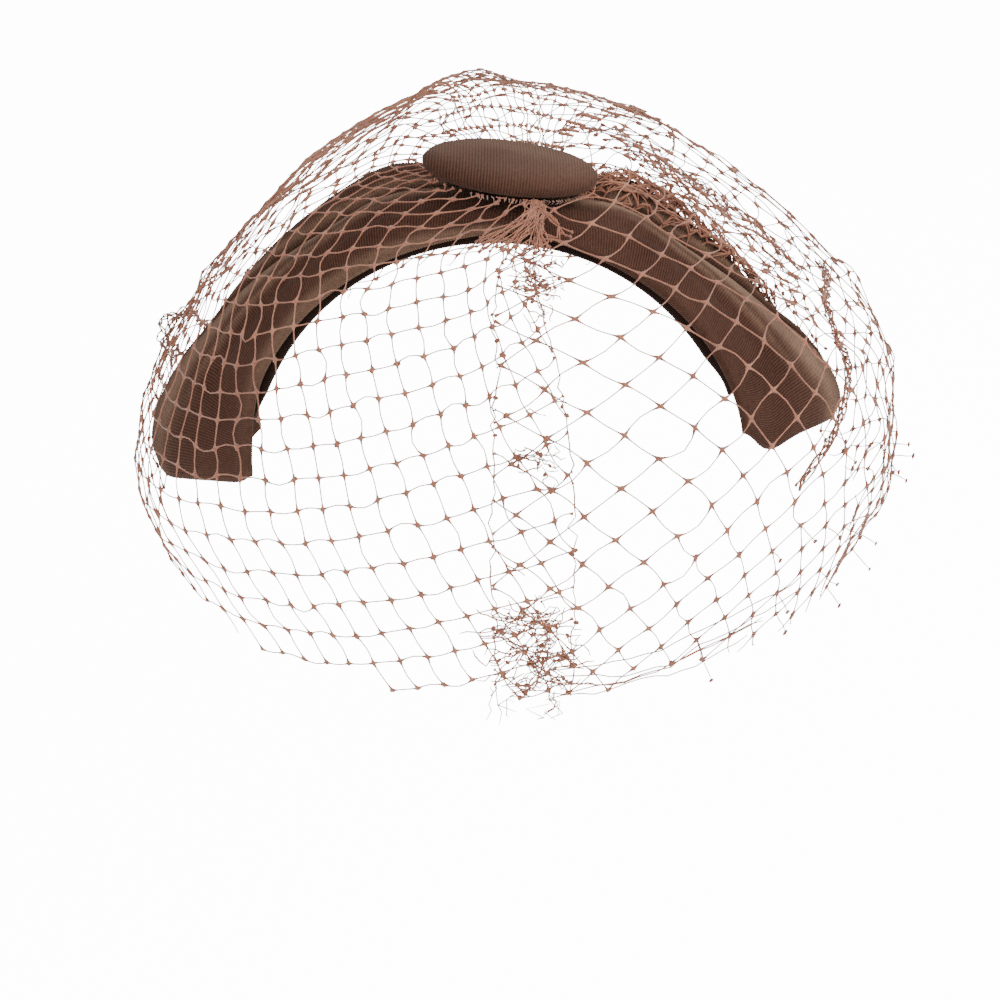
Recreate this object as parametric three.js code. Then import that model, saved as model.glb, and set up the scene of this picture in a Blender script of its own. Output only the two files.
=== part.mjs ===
// A half hat of folded ribbed cloth with a bubble veil, in millimetres, +Z up and the face towards -Y.
// The origin is the point of the crown that the middle of the band rests on.
import * as THREE from "three";

// The curve of the head, from ear to ear, that the hat follows.
const headHalfWidth = 75;
const headRise = 85;
const crownRadius = 95;
const leftEnd = 89;
const rightEnd = 82;
const clear = 0.4;

// The base strip.
const bandDepth = 41;
const baseWall = 1.8;
const baseLip = 1.4;

// The folded cloth.
const clothWall = 1.5;
const foldRise = 34;
const foldThick = 9;
const foldDrop = 10;
const seamAngle = 6;
const frontShare = 0.53;

// The covered button.
const buttonWidth = 50;
const buttonDepth = 32;
const buttonThick = 9.4;
const buttonFoot = 5.6;
const buttonAcross = 4.5;
const buttonForward = 3;
const buttonTiltSide = 7;
const buttonTiltBack = 6;

// The veil and its gathered edge.
const veilFront = 105;
const veilBack = 100;
const veilLeft = 110;
const veilRight = 122;
const veilDrop = 100;
const veilLift = 15;
const netColumns = 17;
const netRows = 7;
const strandWidth = 3.6;
const strandThick = 1;
const netGap = 2.2;
const gatherThick = 2.2;
const gatherHem = 0.5;
const gatherStart = 0.3;
const gatherEnd = 0.66;
const gatherSpread = 0.06;

// One row for each cross-section of a front fold, from the middle to the end. Its front edge stays on
// the front of the base strip. "back" is how far its outer edge lies behind that, in band depths;
// "rise" is that edge's height in fold rises; "thick" and "bow" are in fold thicknesses; "crease" is
// the depth of the dent along the front layer, in fold thicknesses; "drop" is in fold drops.
const frontSections = [
  { at: 0.0, back: 0.53, rise: 0.055, thick: 0.36, bow: 0.02, crease: 0.0, drop: 0.0 },
  { at: 0.14, back: 0.52, rise: 0.08, thick: 0.42, bow: 0.06, crease: 0.02, drop: 0.0 },
  { at: 0.27, back: 0.5, rise: 0.16, thick: 0.62, bow: 0.24, crease: 0.1, drop: 0.0 },
  { at: 0.45, back: 0.49, rise: 0.19, thick: 0.66, bow: 0.2, crease: 0.17, drop: 0.02 },
  { at: 0.6, back: 0.52, rise: 0.32, thick: 0.66, bow: 0.2, crease: 0.2, drop: 0.1 },
  { at: 0.74, back: 0.57, rise: 0.5, thick: 0.62, bow: 0.26, crease: 0.16, drop: 0.3 },
  { at: 0.87, back: 0.64, rise: 0.78, thick: 0.56, bow: 0.28, crease: 0.06, drop: 0.7 },
  { at: 0.95, back: 0.68, rise: 0.93, thick: 0.5, bow: 0.24, crease: 0.0, drop: 0.95 },
  { at: 1.0, back: 0.69, rise: 0.97, thick: 0.4, bow: 0.2, crease: 0.0, drop: 1.0 },
];

// The same for a back fold, whose lower edge stays on the back of the base strip. Its outer edge lies
// just behind the front fold's, and "apart" is the gap between the two in fold thicknesses.
const backSections = [
  { at: 0.0, apart: 0.06, rise: 0.045, thick: 0.3, bow: 0.0 },
  { at: 0.14, apart: 0.08, rise: 0.05, thick: 0.38, bow: 0.06 },
  { at: 0.27, apart: 0.22, rise: 0.12, thick: 0.66, bow: 0.42 },
  { at: 0.45, apart: 0.42, rise: 0.16, thick: 0.62, bow: 0.42 },
  { at: 0.6, apart: 0.4, rise: 0.33, thick: 0.56, bow: 0.3 },
  { at: 0.74, apart: 0.2, rise: 0.5, thick: 0.5, bow: 0.26 },
  { at: 0.87, apart: 0.12, rise: 0.76, thick: 0.46, bow: 0.22 },
  { at: 0.95, apart: 0.12, rise: 0.88, thick: 0.42, bow: 0.2 },
  { at: 1.0, apart: 0.12, rise: 0.9, thick: 0.34, bow: 0.16 },
];

// One row for each ring of the veil below its collar, from the top down. "front", "left", "right" and
// "back" are its reaches as shares of the veil's own; the heights are in veil lifts above the crown
// where they are positive and in veil drops below it where they are negative.
const veilRings = [
  { front: 0.24, frontUp: 0.35, left: 0.3, right: 0.32, sideUp: 0.35, back: 0.28, backUp: 0.72 },
  { front: 0.42, frontUp: -0.01, left: 0.5, right: 0.55, sideUp: -0.06, back: 0.5, backUp: 0.92 },
  { front: 0.64, frontUp: -0.11, left: 0.71, right: 0.79, sideUp: -0.22, back: 0.73, backUp: 0.35 },
  { front: 0.83, frontUp: -0.31, left: 0.86, right: 0.97, sideUp: -0.45, back: 0.91, backUp: -0.13 },
  { front: 0.95, frontUp: -0.56, left: 1.0, right: 1.0, sideUp: -0.74, back: 1.0, backUp: -0.38 },
  { front: 1.0, frontUp: -0.97, left: 0.94, right: 0.93, sideUp: -1.04, back: 0.97, backUp: -0.7 },
];

const clothBrown = { color: 0x4a3028, roughness: 0.85, metalness: 0 };
const shadeBrown = { color: 0x33211c, roughness: 0.9, metalness: 0 };
const netRust = { color: 0xa9654c, roughness: 0.8, metalness: 0 };

const radians = THREE.MathUtils.degToRad;
const frontEdge = -bandDepth / 2;
const backEdge = bandDepth / 2;
const foldSeat = baseWall + clear;

// Where the head lies at an angle from the crown, with its directions outwards and towards +X.
function headAt(angle) {
  const s = Math.sin(angle);
  const c = Math.cos(angle);
  return {
    point: new THREE.Vector3(headHalfWidth * s, 0, headRise * (c - 1)),
    out: new THREE.Vector3(s / headHalfWidth, 0, c / headRise).normalize(),
    along: new THREE.Vector3(headHalfWidth * c, 0, -headRise * s).normalize(),
  };
}

// A point over the head: its depth from front to back, its height off the head and its way along.
function place(angle, depth, height, along = 0) {
  const head = headAt(angle);
  const fall = (depth * depth) / (2 * crownRadius);
  return head.point
    .addScaledVector(head.out, height - fall)
    .addScaledVector(head.along, along)
    .add(new THREE.Vector3(0, depth, 0));
}

// A row of a table of sections at any share of the way, eased between the rows beside it.
function rowAt(table, at) {
  const last = table.length - 1;
  let i = 0;
  while (i < last - 1 && at > table[i + 1].at) i++;
  const span = table[i + 1].at - table[i].at;
  const t = THREE.MathUtils.clamp((at - table[i].at) / span, 0, 1);
  const row = {};
  for (const key of Object.keys(table[i])) {
    const value = (k) => table[THREE.MathUtils.clamp(k, 0, last)][key];
    row[key] = catmullRom(t, value(i - 1), value(i), value(i + 1), value(i + 2));
  }
  return row;
}

function catmullRom(t, p0, p1, p2, p3) {
  const slopeIn = (p2 - p0) / 2;
  const slopeOut = (p3 - p1) / 2;
  const a = 2 * p1 - 2 * p2 + slopeIn + slopeOut;
  const b = -3 * p1 + 3 * p2 - 2 * slopeIn - slopeOut;
  return a * t ** 3 + b * t ** 2 + slopeIn * t + p1;
}

// The two edges of each fold's section, as depth and height pairs.
function frontEdges(at) {
  const row = rowAt(frontSections, at);
  const low = [frontEdge, foldSeat + (row.thick * foldThick) / 2];
  const high = [frontEdge + row.back * bandDepth, foldSeat + row.rise * foldRise];
  return { row, low, high };
}

function backEdges(at) {
  const row = rowAt(backSections, at);
  const front = frontEdges(at);
  const behind = row.apart * foldThick + (front.row.thick * foldThick) / 4;
  const low = [backEdge, foldSeat + (row.thick * foldThick) / 2];
  const high = [front.high[0] + behind + clear, foldSeat + row.rise * foldRise];
  return { row, low: high, high: low };
}

// A point of a fold's rounded section, "turn" round it from its first edge over its outer face, drawn
// in by "inset" for the inside of the cloth.
function foldPoint(edges, turn, inset) {
  const { row, low, high } = edges;
  const dx = high[0] - low[0];
  const dy = high[1] - low[1];
  const long = Math.hypot(dx, dy);
  const halfThick = (row.thick * foldThick) / 2;
  const round = Math.sign(Math.cos(turn)) * Math.abs(Math.cos(turn)) ** 0.8;
  const share = (1 - round) / 2;
  const onChord = inset + share * (long - 2 * inset);
  const fill = Math.sign(Math.sin(turn)) * Math.abs(Math.sin(turn)) ** 0.7;
  const bow = row.bow * foldThick * Math.sin(Math.PI * share);
  const dent = (row.crease ?? 0) * foldThick * Math.exp(-(((share - 0.42) / 0.12) ** 2));
  const off = fill * (halfThick - inset) + bow - dent;
  return {
    depth: low[0] + (dx * onChord - dy * off) / long,
    height: low[1] + (dy * onChord + dx * off) / long,
    share,
  };
}

// How far out the folds reach over the head at a depth, for what lies on them.
function foldTop(angle, depth) {
  const at = Math.min(1, shareOf(angle));
  let top = foldSeat;
  for (const edges of [frontEdges(at), backEdges(at)]) {
    const ring = [];
    for (let i = 0; i <= 32; i++) ring.push(foldPoint(edges, (i / 32) * 2 * Math.PI, 0));
    for (let i = 0; i < 32; i++) {
      const [a, b] = [ring[i], ring[i + 1]];
      if ((a.depth - depth) * (b.depth - depth) > 0) continue;
      const t = (depth - a.depth) / (b.depth - a.depth || 1);
      top = Math.max(top, a.height + t * (b.height - a.height));
    }
  }
  return top;
}

const foldSpan = (side) => radians(side < 0 ? leftEnd + seamAngle : rightEnd - seamAngle);
const angleOf = (side, at) => radians(seamAngle) + side * at * foldSpan(side);

function shareOf(angle) {
  const fromSeam = angle - radians(seamAngle);
  return Math.abs(fromSeam) / foldSpan(Math.sign(fromSeam) || 1);
}

// A closed body from a sheet of faces: its outer points, the inner point behind each, and a wall
// along every free edge.
function bodyOf(outer, inner, faces) {
  const count = outer.length;
  const positions = new Float32Array([...outer, ...inner].flatMap((p) => [p.x, p.y, p.z]));
  const edges = new Set();
  faces.forEach((face) => face.forEach((a, i) => edges.add(`${a},${face[(i + 1) % face.length]}`)));
  const index = [];
  const addFace = (face) => {
    for (let i = 1; i < face.length - 1; i++) index.push(face[0], face[i], face[i + 1]);
  };
  for (const face of faces) {
    addFace(face);
    addFace(face.map((k) => k + count).reverse());
    face.forEach((a, i) => {
      const b = face[(i + 1) % face.length];
      if (!edges.has(`${b},${a}`)) addFace([b, a, a + count, b + count]);
    });
  }
  const geometry = new THREE.BufferGeometry();
  geometry.setAttribute("position", new THREE.BufferAttribute(positions, 3));
  geometry.setIndex(index);
  geometry.computeVertexNormals();
  return geometry;
}

function grid(rows, columns, closed) {
  const faces = [];
  const wide = closed ? columns : columns - 1;
  for (let i = 0; i < rows - 1; i++) {
    for (let j = 0; j < wide; j++) {
      const k = (j + 1) % columns;
      faces.push([i * columns + j, i * columns + k, (i + 1) * columns + k, (i + 1) * columns + j]);
    }
  }
  return faces;
}

function baseStrip() {
  const stations = 33;
  const across = 7;
  const outer = [];
  const inner = [];
  for (let i = 0; i < stations; i++) {
    const angle = radians(-leftEnd + ((leftEnd + rightEnd) * i) / (stations - 1));
    for (let j = 0; j < across; j++) {
      const share = j / (across - 1);
      const depth = frontEdge - baseLip + share * (bandDepth + baseLip);
      outer.push(place(angle, depth, baseWall));
      inner.push(place(angle, depth, 0));
    }
  }
  return bodyOf(outer, inner, grid(stations, across, false).map((face) => face.reverse()));
}

// A hollow fold, open at the middle of the hat and closed at its end.
function fold(edgesAt, side) {
  const stations = 19;
  const around = 16;
  const outer = [];
  const inner = [];
  const wallShare = clothWall / (headRise * foldSpan(side));
  for (let i = 0; i < stations; i++) {
    const spread = i / (stations - 1);
    const at = clear / (2 * headRise * foldSpan(side)) + spread * (1 - clear / headRise);
    for (let j = 0; j < around; j++) {
      const turn = (j / around) * 2 * Math.PI;
      outer.push(foldSurface(edgesAt, side, at, turn, 0));
      inner.push(foldSurface(edgesAt, side, at * (1 - wallShare), turn, clothWall));
    }
  }
  const faces = grid(stations, around, true);
  const lastRing = (stations - 1) * around;
  const middle = (points) => {
    const sum = new THREE.Vector3();
    points.slice(lastRing, lastRing + around).forEach((p) => sum.add(p));
    return sum.divideScalar(around);
  };
  outer.push(middle(outer));
  inner.push(middle(inner));
  const hub = stations * around;
  for (let j = 0; j < around; j++) {
    faces.push([lastRing + j, lastRing + ((j + 1) % around), hub]);
  }
  return bodyOf(outer, inner, side < 0 ? faces : faces.map((face) => face.reverse()));
}

function foldSurface(edgesAt, side, at, turn, inset) {
  const edges = edgesAt(at);
  const point = foldPoint(edges, turn, inset);
  const lowered = (point.depth - frontEdge) / bandDepth;
  const drop = frontEdges(at).row.drop * foldDrop * Math.min(1, Math.max(0, lowered / frontShare));
  return place(angleOf(side, at), point.depth, point.height, side * drop);
}

// The padded button: full over the top, drawn in by its gathers to the foot that is sewn down.
const footReach = 0.3;
function coveredButton() {
  const foot = -buttonFoot / buttonThick;
  const profile = [
    { reach: 0, height: foot },
    { reach: footReach, height: foot },
    { reach: 0.52, height: -0.41 },
    { reach: 0.78, height: -0.33 },
    { reach: 0.95, height: -0.17 },
    { reach: 1, height: 0.06 },
    { reach: 0.955, height: 0.28 },
    { reach: 0.84, height: 0.43 },
    { reach: 0.62, height: 0.53 },
    { reach: 0.32, height: 0.585 },
    { reach: 0, height: 0.6 },
  ].map((p) => new THREE.Vector2((p.reach * buttonWidth) / 2, p.height * buttonThick));
  const geometry = new THREE.LatheGeometry(profile, 30);
  geometry.rotateX(Math.PI / 2);
  geometry.scale(1, buttonDepth / buttonWidth, 1);
  return geometry;
}

const buttonTurn = new THREE.Euler(radians(-buttonTiltBack), radians(buttonTiltSide), 0);
const buttonPlace = seatOnFolds();

// The button's centre, with its foot on the folds: the way it leans follows the way they fall.
function seatOnFolds() {
  const angle = Math.asin(buttonAcross / headHalfWidth);
  const top = place(angle, -buttonForward, foldTop(angle, -buttonForward)).z;
  return new THREE.Vector3(buttonAcross, -buttonForward, top + clear + buttonFoot);
}

// The collar that the net is gathered to, round the foot of the button, in shares of its reach.
const collarReach = 0.78;
const collarSpread = 0.1;
function collarPoint(around, share) {
  const angle = around * 2 * Math.PI - Math.PI / 2;
  const reach = 0.5 * (collarReach + collarSpread * share);
  const under = -buttonThick * (0.43 - 0.05 * share);
  return new THREE.Vector3(
    Math.cos(angle) * reach * buttonWidth,
    Math.sin(angle) * reach * buttonDepth,
    under,
  )
    .applyEuler(buttonTurn)
    .add(buttonPlace);
}

const heightOf = (share) => (share > 0 ? share * veilLift : share * veilDrop);

// The veil's surface: "around" goes once round from the front over the right, "down" from 0 to 1.
function veilPoint(around, down) {
  const angle = around * 2 * Math.PI;
  const s = Math.sin(angle);
  const c = Math.cos(angle);
  const ringAt = (k) => {
    if (k < 0) return collarPoint(around, 1);
    const ring = veilRings[Math.min(k, veilRings.length - 1)];
    const reach = c > 0 ? ring.front * veilFront : ring.back * veilBack;
    const height = heightOf(c > 0 ? ring.frontUp : ring.backUp);
    return new THREE.Vector3(
      (s > 0 ? ring.right * veilRight : ring.left * veilLeft) * s,
      -reach * c,
      height * c * c + heightOf(ring.sideUp) * s * s,
    );
  };
  const scaled = down * veilRings.length;
  const i = Math.min(Math.floor(scaled), veilRings.length - 1);
  const t = scaled - i;
  const around4 = [i - 2, i - 1, i, i + 1].map(ringAt);
  const at = (key) => catmullRom(t, ...around4.map((p) => p[key]));
  return restOnFolds(new THREE.Vector3(at("x"), at("y"), at("z")));
}

// Lifts a point of the net clear of the folds that it lies on.
function restOnFolds(point) {
  let best = null;
  for (let i = -100; i <= 100; i++) {
    const angle = radians(i);
    const head = headAt(angle);
    const gap = Math.hypot(point.x - head.point.x, point.z - head.point.z);
    if (!best || gap < best.gap) best = { gap, angle, head };
  }
  const { angle, head } = best;
  const fall = point.y ** 2 / (2 * crownRadius);
  const height = point.clone().sub(head.point).dot(head.out) + fall;
  const at = shareOf(angle);
  const byBunch = at > gatherStart - gatherSpread && at < gatherEnd + gatherSpread;
  const bunch = byBunch && angle > 0 && point.y > 0 ? gatherThick : 0;
  const need = foldTop(angle, point.y) + bunch + netGap + strandThick;
  const tipAngle = radians(angle > 0 ? rightEnd : leftEnd) + foldDrop / headRise;
  const near = Math.abs(point.y) < backEdge + foldThick && Math.abs(angle) < tipAngle;
  if (near && height < need) point.addScaledVector(head.out, need - height);
  return point;
}

function veilNet() {
  const outer = [];
  const inner = [];
  const faces = [];
  const step = 1e-3;
  const frameAt = (around, down) => {
    const point = veilPoint(around, down);
    const across = veilPoint(around + step, down).sub(veilPoint(around - step, down)).normalize();
    const low = Math.min(1, down + step);
    const along = veilPoint(around, low).sub(veilPoint(around, Math.max(0, down - step))).normalize();
    const out = along.clone().cross(across).normalize();
    return { point, across, along, out };
  };
  const add = (point, out) => {
    outer.push(point);
    inner.push(point.clone().addScaledVector(out, -strandThick));
    return outer.length - 1;
  };
  const half = strandWidth / Math.SQRT2;
  const collar = [];
  for (let i = 0; i < netColumns * 3; i++) {
    const around = (Math.floor(i / 3) + ((i % 3) - 1) * 0.28) / netColumns;
    const out = new THREE.Vector3(0, 0, 1).applyEuler(buttonTurn);
    collar.push([add(collarPoint(around, 0), out), add(collarPoint(around, 1), out)]);
  }
  collar.forEach(([top, low], i) => {
    const [nextTop, nextLow] = collar[(i + 1) % collar.length];
    faces.push([top, low, nextLow, nextTop]);
  });
  const knots = [];
  for (let row = 0; row <= netRows; row++) {
    const line = [];
    for (let column = 0; column < netColumns; column++) {
      if (row === 0) {
        const [w, s, e] = [0, 1, 2].map((k) => collar[column * 3 + k][1]);
        line.push({ w, s, e });
        continue;
      }
      const around = (column + (row % 2) / 2) / netColumns;
      const { point, across, along, out } = frameAt(around, row / netRows);
      const corner = (x, y) =>
        add(point.clone().addScaledVector(across, x * half).addScaledVector(along, y * half), out);
      const knot = { n: corner(0, -1), w: corner(-1, 0), s: corner(0, 1), e: corner(1, 0) };
      faces.push([knot.n, knot.w, knot.s, knot.e]);
      line.push(knot);
    }
    knots.push(line);
  }
  for (let row = 0; row < netRows; row++) {
    for (let column = 0; column < netColumns; column++) {
      for (const way of [-1, 1]) {
        const shift = row % 2 === 0 ? (way < 0 ? -1 : 0) : way < 0 ? 0 : 1;
        const from = knots[row][column];
        const to = knots[row + 1][(column + shift + netColumns) % netColumns];
        const around = (column + (row % 2) / 2 + way / 4) / netColumns;
        const { point, across, along, out } = frameAt(around, (row + 0.5) / netRows);
        const upper = add(
          point.clone().addScaledVector(across, (way * half) / 2).addScaledVector(along, -half / 2),
          out,
        );
        const lower = add(
          point.clone().addScaledVector(across, (-way * half) / 2).addScaledVector(along, half / 2),
          out,
        );
        if (way > 0) {
          faces.push([from.e, from.s, lower, upper]);
          faces.push([upper, lower, to.w, to.n]);
        } else {
          faces.push([from.s, from.w, upper, lower]);
          faces.push([lower, upper, to.n, to.e]);
        }
      }
    }
  }
  return bodyOf(outer, inner, faces);
}

// The bunched edge of the net, laid along the right back fold in low gathers.
function bunchedEdge() {
  const stations = 25;
  const across = 9;
  const gathers = 11;
  const outer = [];
  const inner = [];
  for (let i = 0; i < stations; i++) {
    const way = i / (stations - 1);
    const at = gatherStart + way * (gatherEnd - gatherStart);
    const edges = backEdges(at);
    for (let j = 0; j < across; j++) {
      const share = j / (across - 1);
      const turn = Math.PI * (0.24 + 0.5 * share);
      const low = foldPoint(edges, turn, -clear);
      const full = Math.sin(Math.PI * share) ** 0.5 * Math.sin(Math.PI * (0.08 + 0.84 * way)) ** 0.5;
      const ripple = 0.75 + 0.25 * Math.cos(2 * Math.PI * (gathers * way + share));
      const thick = gatherHem + (gatherThick - gatherHem) * full * ripple;
      const high = foldPoint(edges, turn, -clear - thick);
      outer.push(place(angleOf(1, at), high.depth, high.height));
      inner.push(place(angleOf(1, at), low.depth, low.height));
    }
  }
  return bodyOf(outer, inner, grid(stations, across, false).map((face) => face.reverse()));
}

const hat = new THREE.Group();

function addPiece(name, geometry, look) {
  const mesh = new THREE.Mesh(geometry, new THREE.MeshStandardMaterial(look));
  mesh.name = name;
  hat.add(mesh);
  return mesh;
}

addPiece("bandeau", baseStrip(), shadeBrown);
for (const [label, side] of [
  ["left", -1],
  ["right", 1],
]) {
  addPiece(`front_fold_${label}`, fold(frontEdges, side), clothBrown);
  addPiece(`back_fold_${label}`, fold(backEdges, side), clothBrown);
}
const button = addPiece("button", coveredButton(), clothBrown);
button.position.copy(buttonPlace);
button.rotation.copy(buttonTurn);
addPiece("veil", veilNet(), netRust);
addPiece("veil_gather", bunchedEdge(), netRust);

export default hat;
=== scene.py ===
# A half hat of folded ribbed cloth with a bubble veil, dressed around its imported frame.
# Metres, +Z up, the front towards -Y. The middle of the band rests on the origin.
import math
import random

import bmesh
import bpy
import numpy as np
from mathutils import Euler, Matrix, Vector, noise


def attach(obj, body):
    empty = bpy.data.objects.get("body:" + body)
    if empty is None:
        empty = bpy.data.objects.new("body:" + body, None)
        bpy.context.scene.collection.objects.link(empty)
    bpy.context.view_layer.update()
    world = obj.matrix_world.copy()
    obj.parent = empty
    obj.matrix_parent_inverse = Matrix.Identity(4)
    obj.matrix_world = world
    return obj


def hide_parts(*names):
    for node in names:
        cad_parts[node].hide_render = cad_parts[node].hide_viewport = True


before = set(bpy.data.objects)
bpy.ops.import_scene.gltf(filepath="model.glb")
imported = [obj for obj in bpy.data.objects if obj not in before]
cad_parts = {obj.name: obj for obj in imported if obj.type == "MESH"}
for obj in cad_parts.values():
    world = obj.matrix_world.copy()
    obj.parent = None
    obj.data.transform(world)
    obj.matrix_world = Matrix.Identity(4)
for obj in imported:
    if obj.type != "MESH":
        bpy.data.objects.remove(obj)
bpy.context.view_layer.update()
scene = bpy.context.scene
mm = 0.001
noise.seed_set(5)                             # keeps the net's bumps the same from run to run
print("frame loaded")


# Small helpers

def meshObject(name, bm):
    mesh = bpy.data.meshes.new(name)
    bm.to_mesh(mesh)
    bm.free()
    piece = bpy.data.objects.new(name, mesh)
    scene.collection.objects.link(piece)
    mesh.polygons.foreach_set("use_smooth", [True] * len(mesh.polygons))
    return piece


def mixed(a, b, share):
    return a + (b - a) * share


def eased(low, high, value):                  # 0 below low, 1 above high, smooth between
    share = min(1, max(0, (value - low) / (high - low)))
    return share * share * (3 - 2 * share)


def bell(distance, width):
    return math.exp(-((distance / width) ** 2))


def catmullRom(t, p0, p1, p2, p3):
    slopeIn, slopeOut = (p2 - p0) / 2, (p3 - p1) / 2
    a = 2 * p1 - 2 * p2 + slopeIn + slopeOut
    b = -3 * p1 + 3 * p2 - 2 * slopeIn - slopeOut
    return a * t**3 + b * t**2 + slopeIn * t + p1


# Materials

class Link:                                   # a socket that Python's operators add Math nodes to
    def __init__(self, shade, socket):
        self.shade = shade
        self.socket = socket

    def maths(self, operation, *values):
        settings = {"operation": operation}
        return self.shade.node("ShaderNodeMath", settings, dict(enumerate(values)))

    def __add__(self, other):
        return self.maths("ADD", self, other)

    def __sub__(self, other):
        return self.maths("SUBTRACT", self, other)

    def __rsub__(self, other):
        return self.maths("SUBTRACT", other, self)

    def __mul__(self, other):
        return self.maths("MULTIPLY", self, other)

    __radd__ = __add__
    __rmul__ = __mul__

    def sine(self):
        return self.maths("SINE", self)


class Shade:                                  # one material and its nodes
    def __init__(self, name):
        self.material = bpy.data.materials.new(name)
        self.material.use_nodes = True
        self.tree = self.material.node_tree
        self.surface = self.tree.nodes["Principled BSDF"]

    def fixed(self, values):
        for name, value in values.items():
            self.surface.inputs[name].default_value = value

    def varying(self, name, link):
        self.tree.links.new(link.socket, self.surface.inputs[name])

    def node(self, kind, settings=None, sockets=None, output=0):
        node = self.tree.nodes.new(kind)
        for name, value in (settings or {}).items():
            if name == "stops":
                stops = node.color_ramp.elements
                while len(stops) < len(value):
                    stops.new(0.5)
                for stop, (at, tone) in zip(stops, value):
                    stop.position = at
                    stop.color = (*tone, 1)
            else:
                setattr(node, name, value)
        for name, value in (sockets or {}).items():
            if isinstance(value, Link):
                self.tree.links.new(value.socket, node.inputs[name])
            else:
                node.inputs[name].default_value = value
        return Link(self, node.outputs[output])

    def speckle(self, scale, detail=2.0):
        place = self.node("ShaderNodeTexCoord", output="Object")
        return self.node("ShaderNodeTexNoise", {}, {"Vector": place, "Scale": scale, "Detail": detail})

    def attribute(self, name):
        return self.node("ShaderNodeAttribute", {"attribute_name": name}, output="Fac")

    def ramp(self, link, *stops):
        return self.node("ShaderNodeValToRGB", {"stops": stops}, {"Fac": link})

    def blendTones(self, mask, toneA, toneB):
        sockets = {"Factor": mask, 6: toneA, 7: toneB}
        return self.node("ShaderNodeMix", {"data_type": "RGBA"}, sockets, 2)

    def bump(self, height, depth, strength=1.0):
        sockets = {"Height": height, "Distance": depth, "Strength": strength}
        self.varying("Normal", self.node("ShaderNodeBump", {}, sockets))


clothLook = {
    "deep": (0.0165, 0.0056, 0.0036),         # between the ribs: painted shade in the rib valleys, and the dark end of the grain
    "body": (0.063, 0.026, 0.0165),
    "wornAndLit": (0.185, 0.115, 0.078),            # along the ridges: painted highlight where the light falls on them, with rubbed wear
    "dust": (0.086, 0.046, 0.033),
    "roughness": 0.8,
    "yarnPitch": 0.42 * mm,
    "yarnDepth": 0.07 * mm,
    "patches": 38,                            # noise scales, from broad to fine
    "grain": 900,
    "fuzz": 2600,
    "sheen": (0.95, 0.75, 0.62, 1),
}
threadLook = {
    "lit": (0.29, 0.112, 0.060),
    "dark": (0.165, 0.057, 0.033),
    "knot": (0.17, 0.050, 0.027),
    "stitch": (0.30, 0.235, 0.20),
    "patches": 45,
    "grain": 1400,
    "fuzz": 5200,
    "fuzzDepth": 0.06 * mm,
}


def clothShade(name, darker=1.0, ribPitch=None):
    shade = Shade(name)
    tones = {key: tuple(c * darker for c in clothLook[key]) for key in ("deep", "body", "wornAndLit", "dust")}
    patches = shade.speckle(clothLook["patches"], 3)
    grain = shade.speckle(clothLook["grain"], 2)
    fuzz = shade.speckle(clothLook["fuzz"], 1)
    # the rib mask, low in the valleys and high on the peaks: through the ramp it paints shade in the
    # valleys, through the worn tone it adds painted highlight on the peaks, and the button's bump uses it
    # too
    ribs = shade.attribute("rib") * 0.85 + patches * 0.3 - 0.12
    if ribPitch:                              # straight ribs, drawn from the UV map
        across = shade.node("ShaderNodeSeparateXYZ", {}, {0: shade.node("ShaderNodeUVMap")}, 0)
        ribs = (across * (2 * math.pi / ribPitch)).sine() * 0.36 + patches * 0.5 + 0.28
    wear = shade.attribute("wear")
    ground = shade.ramp(ribs * 0.8 + grain * 0.36, (0.22, tones["deep"]), (0.84, tones["body"]))
    dusty = shade.blendTones((patches - 0.42) * 1.1 * grain, ground, (*tones["dust"], 1))
    # the lighter worn tone laid on by the wear mask: painted highlight along the lit ridges and rib peaks,
    # together with rubbed wear
    rubbedAndLit = shade.blendTones(wear * (0.35 + grain * 0.6 + ribs * 0.25), dusty, (*tones["wornAndLit"], 1))
    shade.varying("Base Color", rubbedAndLit)
    shade.varying("Roughness", clothLook["roughness"] + fuzz * 0.2)
    along = shade.node("ShaderNodeSeparateXYZ", {}, {0: shade.node("ShaderNodeUVMap")}, 1)
    yarns = (along * (2 * math.pi / clothLook["yarnPitch"])).sine()
    shade.bump(yarns * 0.35 + fuzz * 0.9 + grain * 0.7 + ribs * (1.6 if ribPitch else 0),
               clothLook["yarnDepth"], 0.8)
    shade.fixed({"Sheen Weight": 0.06, "Sheen Roughness": 0.45, "Sheen Tint": clothLook["sheen"],
                 "Specular IOR Level": 0.12})
    return shade.material


def threadShade(name, toneA, toneB):
    shade = Shade(name)
    grain = shade.speckle(threadLook["grain"], 2)
    patches = shade.speckle(threadLook["patches"], 2)
    tone = shade.ramp(grain * 0.5 + patches * 0.5, (0.36, toneA), (0.64, toneB))
    shade.varying("Base Color", tone)
    shade.bump(shade.speckle(threadLook["fuzz"], 1), threadLook["fuzzDepth"], 0.7)
    shade.fixed({"Roughness": 0.72, "Sheen Weight": 0.25, "Sheen Roughness": 0.5,
                 "Specular IOR Level": 0.3})
    return shade.material


materials = {
    "cloth": clothShade("ribbedCloth"),
    "button": clothShade("buttonCloth", 0.9, 0.85 * mm),
    # the base strip's cloth at 0.3 of the cloth's colour: painted shade standing for the shadow under the
    # folds
    "base": clothShade("baseClothShaded", 0.3),
    "thread": threadShade("netThread", threadLook["dark"], threadLook["lit"]),
    "knot": threadShade("netKnot", threadLook["knot"], threadLook["dark"]),
    "stitch": threadShade("stitches", threadLook["stitch"], threadLook["dark"]),
}


# Camera, floor and light

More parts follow.
